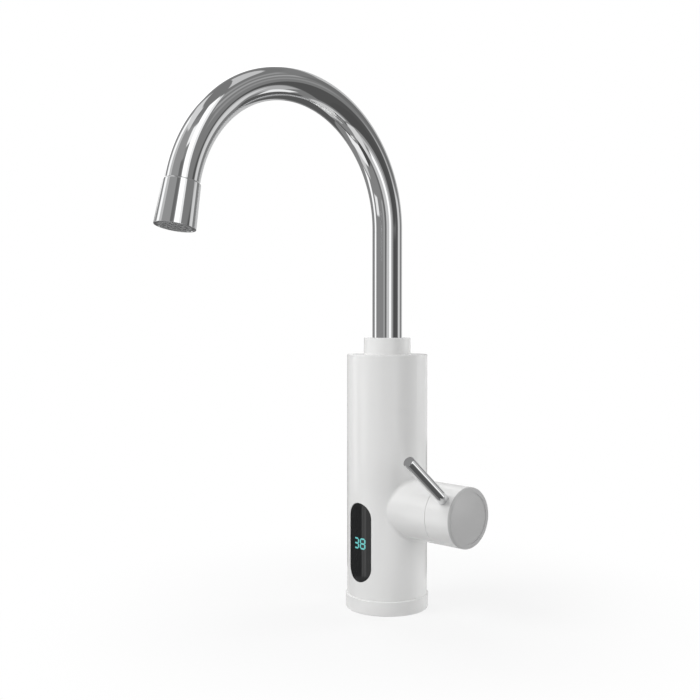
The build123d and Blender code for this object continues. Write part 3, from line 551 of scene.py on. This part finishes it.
def bar_edges(start, end):
    """A bar with pointed ends, cut into slices along it: the two edge points of each slice."""
    start, end = np.array(start), np.array(end)
    length = np.linalg.norm(end - start)
    along = (end - start) / length
    across = np.array([-along[1], along[0]])
    tip, shoulder = bar_gap, bar_gap + bar_w / 2
    place = np.r_[tip, np.linspace(shoulder, length - shoulder, bar_slices - 2), length - tip]
    half = np.r_[bar_point, np.full(bar_slices - 2, bar_w / 2), bar_point]
    middle = start + place[:, None] * along
    return np.stack([middle - half[:, None] * across, middle + half[:, None] * across], axis=1)


def digit_bars():
    """The seven bars of a digit by their usual letters, about the digit's lower middle."""
    x = (digit_w - bar_w) / 2
    low, middle, high = bar_w / 2, digit_h / 2, digit_h - bar_w / 2
    return {
        "a": bar_edges((-x, high), (x, high)),
        "b": bar_edges((x, middle), (x, high)),
        "c": bar_edges((x, low), (x, middle)),
        "d": bar_edges((-x, low), (x, low)),
        "e": bar_edges((-x, low), (-x, middle)),
        "f": bar_edges((-x, middle), (-x, high)),
        "g": bar_edges((-x, middle), (x, middle)),
    }

# %% Wrap the bars round the window
def wrap(plane, radius):
    """Bends (across, up) onto the upright cylinder of that radius, about its front line."""
    angle = plane[..., 0] / radius
    return np.stack([radius * np.sin(angle), -radius * np.cos(angle), plane[..., 1]], axis=-1)


def bars_piece(name, lit, material):
    """All the bars that are lit, or all that are not: each is a thin bent box in slices."""
    edges = np.array([
        bar + (centre, digit_low)
        for centre, letters in digit_places
        for letter, bar in digit_bars().items()
        if (letter in letters) == lit
    ])
    front = wrap(edges, window_face + digit_proud)
    back = wrap(edges, window_face - digit_proud)
    points = np.concatenate([front[:, :, ::-1], back], axis=2)
    first = np.arange(len(points))[:, None, None] * bar_slices * 4
    last = (bar_slices - 1) * 4
    walls = first + grid_faces(bar_slices, 4, close_columns=True)
    ends = first + np.array([[3, 2, 1, 0], [last, last + 1, last + 2, last + 3]])
    faces = np.concatenate([walls.reshape(-1, 4), ends.reshape(-1, 4)])
    piece = mesh_piece(name, points, faces, material, smooth=False)
    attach(piece, "housing")
    print(name, "has", len(points), "bars")


plastic_share = 0.2  # the colour of a bar's plastic, as a share of the one that it glows in
bar_gloss = 0.3


def glow(name, colour, strength):
    """A plain coloured plastic that also gives off its own light."""
    material, _, shader = new_finish(name)
    shader.inputs["Base Color"].default_value = (*(c * plastic_share for c in colour), 1.0)
    shader.inputs["Roughness"].default_value = bar_gloss
    shader.inputs["Emission Color"].default_value = (*colour, 1.0)
    shader.inputs["Emission Strength"].default_value = strength
    return material


bars_piece("digits_lit", True, glow("lit_bar", (0.13, 0.48, 0.47), 1.0))
# The unlit bars get a faint painted glow of their own, though they are switched off.
bars_piece("digits_unlit", False, glow("unlit_bar_painted_glow", (0.012, 0.03, 0.032), 0.3))

# %% [markdown]
# ## The floor and the backdrop
#
# The photograph has no backdrop: the tap stands on pure white. A white floor under plain light
# is a pale grey, so the floor gives off a little light of its own where the camera, the chrome
# or the glass see it. Near the tap that share stays small, so that the floor keeps the tap's
# shadow. Far from it the share grows until the floor is as white as the world behind it.

# %% Lay the floor
floor_r = 4.0
floor_colour = (0.6, 0.6, 0.6)
shadow_r, white_r = 0.05, 0.28  # the floor's own white begins to grow, and is complete
near_share = 0.82


def sees_background(tree):
    """1 for the rays that show the background: from the camera, or through chrome and glass."""
    rays = add_node(tree, "ShaderNodeLightPath")
    first = add_node(tree, "ShaderNodeMath", operation="MAXIMUM")
    second = add_node(tree, "ShaderNodeMath", operation="MAXIMUM")
    wire(tree, rays.outputs["Is Camera Ray"], first.inputs[0])
    wire(tree, rays.outputs["Is Glossy Ray"], first.inputs[1])
    wire(tree, first.outputs[0], second.inputs[0])
    wire(tree, rays.outputs["Is Transmission Ray"], second.inputs[1])
    return second.outputs[0]


def bare_material(name):
    """A material without nodes: returns it and its empty node tree."""
    material = bpy.data.materials.new(name)
    material.use_nodes = True
    material.node_tree.nodes.clear()
    return material, material.node_tree


def show_front(tree, front):
    """Shows a shader on the front of a sheet, and leaves its back clear."""
    output = add_node(tree, "ShaderNodeOutputMaterial")
    clear = add_node(tree, "ShaderNodeBsdfTransparent")
    sides = add_node(tree, "ShaderNodeMixShader")
    side = add_node(tree, "ShaderNodeNewGeometry").outputs["Backfacing"]
    wire(tree, side, sides.inputs["Fac"])
    wire(tree, front.outputs[0], sides.inputs[1])
    wire(tree, clear.outputs[0], sides.inputs[2])
    wire(tree, sides.outputs[0], output.inputs["Surface"])


def floor_material():
    """White that is lit near the middle and gives off its own white further out. From below it is
    clear, so that the tap's underside can be looked at."""
    material, tree = bare_material("white_floor")
    lit = add_node(tree, "ShaderNodeBsdfDiffuse", Color=(*floor_colour, 1.0))
    own = add_node(tree, "ShaderNodeEmission", Strength=1.0)
    near = add_node(tree, "ShaderNodeMixShader")
    place = add_node(tree, "ShaderNodeTexCoord")
    length = add_node(tree, "ShaderNodeVectorMath", operation="LENGTH")
    share = add_node(tree, "ShaderNodeMapRange", interpolation_type="SMOOTHSTEP")
    share.inputs["From Min"].default_value = shadow_r
    share.inputs["From Max"].default_value = white_r
    share.inputs["To Min"].default_value = near_share
    seen = add_node(tree, "ShaderNodeMath", operation="MULTIPLY")
    wire(tree, place.outputs["Object"], length.inputs[0])
    wire(tree, length.outputs["Value"], share.inputs["Value"])
    wire(tree, share.outputs["Result"], seen.inputs[0])
    wire(tree, sees_background(tree), seen.inputs[1])
    wire(tree, seen.outputs[0], near.inputs["Fac"])
    wire(tree, lit.outputs[0], near.inputs[1])
    wire(tree, own.outputs[0], near.inputs[2])
    show_front(tree, near)
    return material


ring_r = np.array([0.0, 0.3, 1.0, floor_r])[:, None]
floor_columns = 64
floor_drop = 0.1 * mm  # below the foot, so that the two never fight for the same plane
floor_points = circles(ring_r, -floor_drop + 0 * ring_r, floor_columns)[:, ::-1]
floor_faces = grid_faces(len(ring_r), floor_columns, close_columns=True)
floor = mesh_piece("floor", floor_points, floor_faces, floor_material())
print("floor is", 2 * floor_r, "m across")

# %% Light the world
world_light = 0.35
world = bpy.data.worlds.new("studio")
world.use_nodes = True
bpy.context.scene.world = world
surround = world.node_tree.nodes["Background"]
surround.inputs["Color"].default_value = (1.0, 1.0, 1.0, 1.0)
wire(
    world.node_tree,
    blend_value(world.node_tree, sees_background(world.node_tree), world_light, 1.0),
    surround.inputs["Strength"],
)
print("the world lights at", world_light, "and shows white")

# %% [markdown]
# ## Lamps
#
# Four soft lamps shape the white plastic, whose colour then renders about as it is written. The
# key lamp hangs high on the left, so that tops are lighter than undersides. A weak one beside the
# camera fills the shadows, and one behind on each side draws the bright rims.

# %% Hang the lamps
def lamp(name, place, aim, size, power):
    """A rectangular soft lamp that hangs at place and faces aim. size is width and height."""
    data = bpy.data.lights.new(name, "AREA")
    data.shape = "RECTANGLE"
    data.size, data.size_y = size
    data.energy = power
    hung = bpy.data.objects.new(name, data)
    bpy.context.scene.collection.objects.link(hung)
    hung.location = place
    hung.rotation_euler = (Vector(aim) - Vector(place)).to_track_quat("-Z", "Y").to_euler()
    hung.visible_camera = False
    hung.visible_glossy = False
    print(name, "gives", power, "W")


tap_middle = (0.0, -0.02, 0.14)
lamp_distance = 1.3
facing = atan2(camera.matrix_world.translation.y, camera.matrix_world.translation.x)


def from_camera(turn, rise):
    """A lamp's place seen from the tap: degrees to the camera's right, and degrees up."""
    way = radians(turn) + facing
    flat = lamp_distance * cos(radians(rise))
    return (flat * cos(way), flat * sin(way), tap_middle[2] + lamp_distance * sin(radians(rise)))


lamp("key_lamp", from_camera(-65, 45), tap_middle, (0.6, 0.6), 12.2)
lamp("fill_lamp", from_camera(25, 15), tap_middle, (0.6, 0.6), 3.7)
lamp("left_rim_lamp", from_camera(-150, 20), tap_middle, (0.6, 0.6), 7.4)
lamp("right_rim_lamp", from_camera(120, 15), tap_middle, (0.5, 0.5), 9.6)

# %% [markdown]
# ## What the chrome mirrors
#
# A polished tube has hardly any colour of its own. It shows a squeezed picture of the whole
# room, so a photographer hangs white cards and dark flags round it. Here the room is one dome
# that is painted with soft-edged patches, as seen from the middle of the spout. Its lower part
# is laid flat on the floor. The dome is seen only in reflections: it lights nothing, and no
# camera sees it.

# %% Choose the cards and the flags
room_r = 1.7
room_middle = Vector((0.0, -0.05, 0.3))
room_tone = 0.27
patch_edge = 2.0  # degrees from a patch's full tone to none
room_patches = (
    # from and to in degrees to the camera's right, from and to in degrees up, and the tone
    (-200, 200, 60, 90, 0.22),  # ceiling
    (40, 215, 72, 90, 0.66),  # pale ceiling behind
    (35, 180, -48, 60, 0.24),  # grey wall on the right, with its beams
    (42, 100, 52, 57, 0.36),
    (48, 96, 38, 43, 0.42),
    (60, 96, 24, 29, 0.33),
    (50, 76, -46, 4, 0.09),  # black flags
    (75, 89, -46, 9, 0.1),
    (92, 104, -24, 14, 0.5),  # cards and gaps behind it
    (96, 114, -8, 9, 0.75),
    (104, 114, -36, -19, 1.05),
    (117, 135, -48, -14, 0.11),
    (104, 136, 14, 46, 0.19),
    (140, 182, -14, 46, 0.6),
    (136, 149, -48, -24, 0.36),
    (151, 212, -62, -17, 0.11),
    (-180, -131, 13, 47, 1.35),  # wide card behind on the left
    (-129, -106, 13, 50, 0.3),
    (-104, -86, 12, 54, 1.2),  # tall card on the left, and the wall beside it
    (-84, -66, 12, 52, 0.62),
    (-66, -12, 12, 52, 0.34),
    (-112, -44, 52, 66, 0.8),  # long card, high on the left
    (-114, -97, -28, 10, 1.2),
    (-112, -78, -48, -34, 0.7),
    (-80, -59, -20, -6, 1.0),
    (-28, -17, -16, 10, 0.42),
    (-17, -3, -48, 30, 0.17),
    (-3, 18, -44, 10, 0.66),  # pale wall beside the camera
    (18, 31, -36, 14, 1.3),
    (31, 41, -44, 10, 0.6),
    (41, 48, -40, 10, 0.32),
    (5, 31, 10, 63, 1.35),  # large card, high beside the camera
    (31, 40, 10, 60, 1.0),
    (-12, 6, 40, 50, 1.1),
    (-118, -50, -66, -48, 1.05),  # white cards on the floor
    (-48, 3, -66, -48, 0.08),
    (-4, 45, -68, -46, 0.8),
    (52, 122, -72, -56, 0.68),
    (110, 200, -90, -64, 0.62),
)

# %% Paint the room
def soft_between(x, low, high):
    """1 from low to high, and 0 beyond an edge of patch_edge degrees outside of them."""
    return soft_step((x - low) / patch_edge + 1) * soft_step((high - x) / patch_edge + 1)


def tone_material():
    """Shows the tone stored at its points, whatever light falls on it, and nothing from behind."""
    material, tree = bare_material("card_tones")
    tone = add_node(tree, "ShaderNodeAttribute", attribute_name="tone")
    own = add_node(tree, "ShaderNodeEmission")
    wire(tree, tone.outputs["Color"], own.inputs["Color"])
    show_front(tree, own)
    return material


card_tones = tone_material()


def hang_card(name, points, tone):
    """A sheet that only reflections show. Its tones are one number for every point."""
    sheet = mesh_piece(name, points, grid_faces(*tone.shape), card_tones)
    stored = sheet.data.color_attributes.new("tone", "FLOAT_COLOR", "POINT")
    stored.data.foreach_set("color", np.stack([tone, tone, tone, 1 + 0 * tone], -1).ravel())
    sheet.visible_camera = False
    sheet.visible_diffuse = False
    sheet.visible_shadow = False
    sheet.visible_transmission = False
    print(name, "has", tone.size, "points")


floor_gap = 1.0 * mm  # from the floor up to the part of the room that lies on it


def build_room():
    """The dome: a sphere of directions, each followed to the dome or to the floor."""
    turn = np.linspace(180, -180, 361)[None, :]  # a point at each degree
    rise = np.linspace(-88, 90, 179)[:, None]
    tone = np.full((rise.size, turn.size), room_tone)
    for left, right, low, high, patch_tone in room_patches:
        across = np.maximum(soft_between(turn, left, right), soft_between(turn - 360, left, right))
        across = np.maximum(across, soft_between(turn + 360, left, right))
        cover = across * soft_between(rise, low, high)
        tone += cover * (patch_tone - tone)
    way = np.radians(turn) + facing
    flat, up = np.cos(np.radians(rise)), np.sin(np.radians(rise))
    aim = np.stack([flat * np.cos(way), flat * np.sin(way), up + 0 * way], axis=-1)
    to_floor = (room_middle.z - floor_gap) / np.maximum(-aim[..., 2:], 1e-6)
    hang_card("room", np.array(room_middle) + aim * np.minimum(room_r, to_floor), tone)
    print("the room is painted with", len(room_patches), "patches")


build_room()

# %% [markdown]
# ### Two small cards close by
#
# The lever and the window are so near the floor that they mirror parts of it which the spout
# mirrors too, but in other tones. So each has a card of its own. The lever lies in a half pipe
# whose stripes run along it. The window faces a low card that stands in an arc before it: black
# on the left, and pale stripes on the right.

# %% Paint stripes on a card
def stripe_tones(turn, base, stripes):
    """The tone at every angle, for both edges of a card: base, and over it each stripe in turn,
    which is given by the angles from and to which it reaches and by its own tone."""
    tones = np.full(turn.shape, base)
    for low, high, tone in stripes:
        tones += soft_between(turn, low, high) * (tone - tones)
    return np.stack([tones, tones])

# %% Bend a striped card round the lever
lever_root = np.array([69.8, 0.0, 76.6]) * mm  # where its line meets the handle's axis
lever_turn = radians(50)  # how far the lever leans forward
lever_card_r = 32.0 * mm
lever_card_ends = np.array([-15.0, 60.0]) * mm  # from the root, along the lever
lever_stripes = ((-80, -4, 0.1), (8, 31, 1.25), (34, 50, 0.6))  # degrees round it, and tones
lever_way = np.array([0.0, -sin(lever_turn), cos(lever_turn)])
lever_side = np.cross(lever_way, (1.0, 0.0, 0.0))

pipe_turn = np.linspace(50, -80, 131)
across = np.radians(pipe_turn)[None, :, None]
around = np.cos(across) * (1.0, 0.0, 0.0) + np.sin(across) * lever_side
pipe = lever_root + lever_card_ends[:, None, None] * lever_way + lever_card_r * around
hang_card("lever_card", pipe, stripe_tones(pipe_turn, room_tone, lever_stripes))

# %% Stand a card before the window
window_card_r = 100.0 * mm
window_card_y = -30.0 * mm  # the middle of its arc
window_card_tone = 0.6  # between the stripes
window_stripes = (  # degrees to the camera's right, and tones
    (-138, -78, 0.03), (-75, -70, 0.95), (-65, -61, 1.3), (-56, -38, 0.6),
)
arc_turn = np.linspace(-40, -136, 97)
arc_way = (np.radians(arc_turn) + facing)[None, :]
arc_height = np.array([1.0, 70.0])[:, None] * mm  # its lower and its upper edge
arc = np.stack([
    window_card_r * np.cos(arc_way) + 0 * arc_height,
    window_card_r * np.sin(arc_way) + window_card_y + 0 * arc_height,
    arc_height + 0 * arc_way,
], axis=-1)
hang_card("window_card", arc, stripe_tones(arc_turn, window_card_tone, window_stripes))

# %% [markdown]
# ## How the colours are shown
#
# The colours are shown as they are, with no film look.

# %% Show the colours as they are
bpy.context.scene.view_settings.view_transform = "Standard"
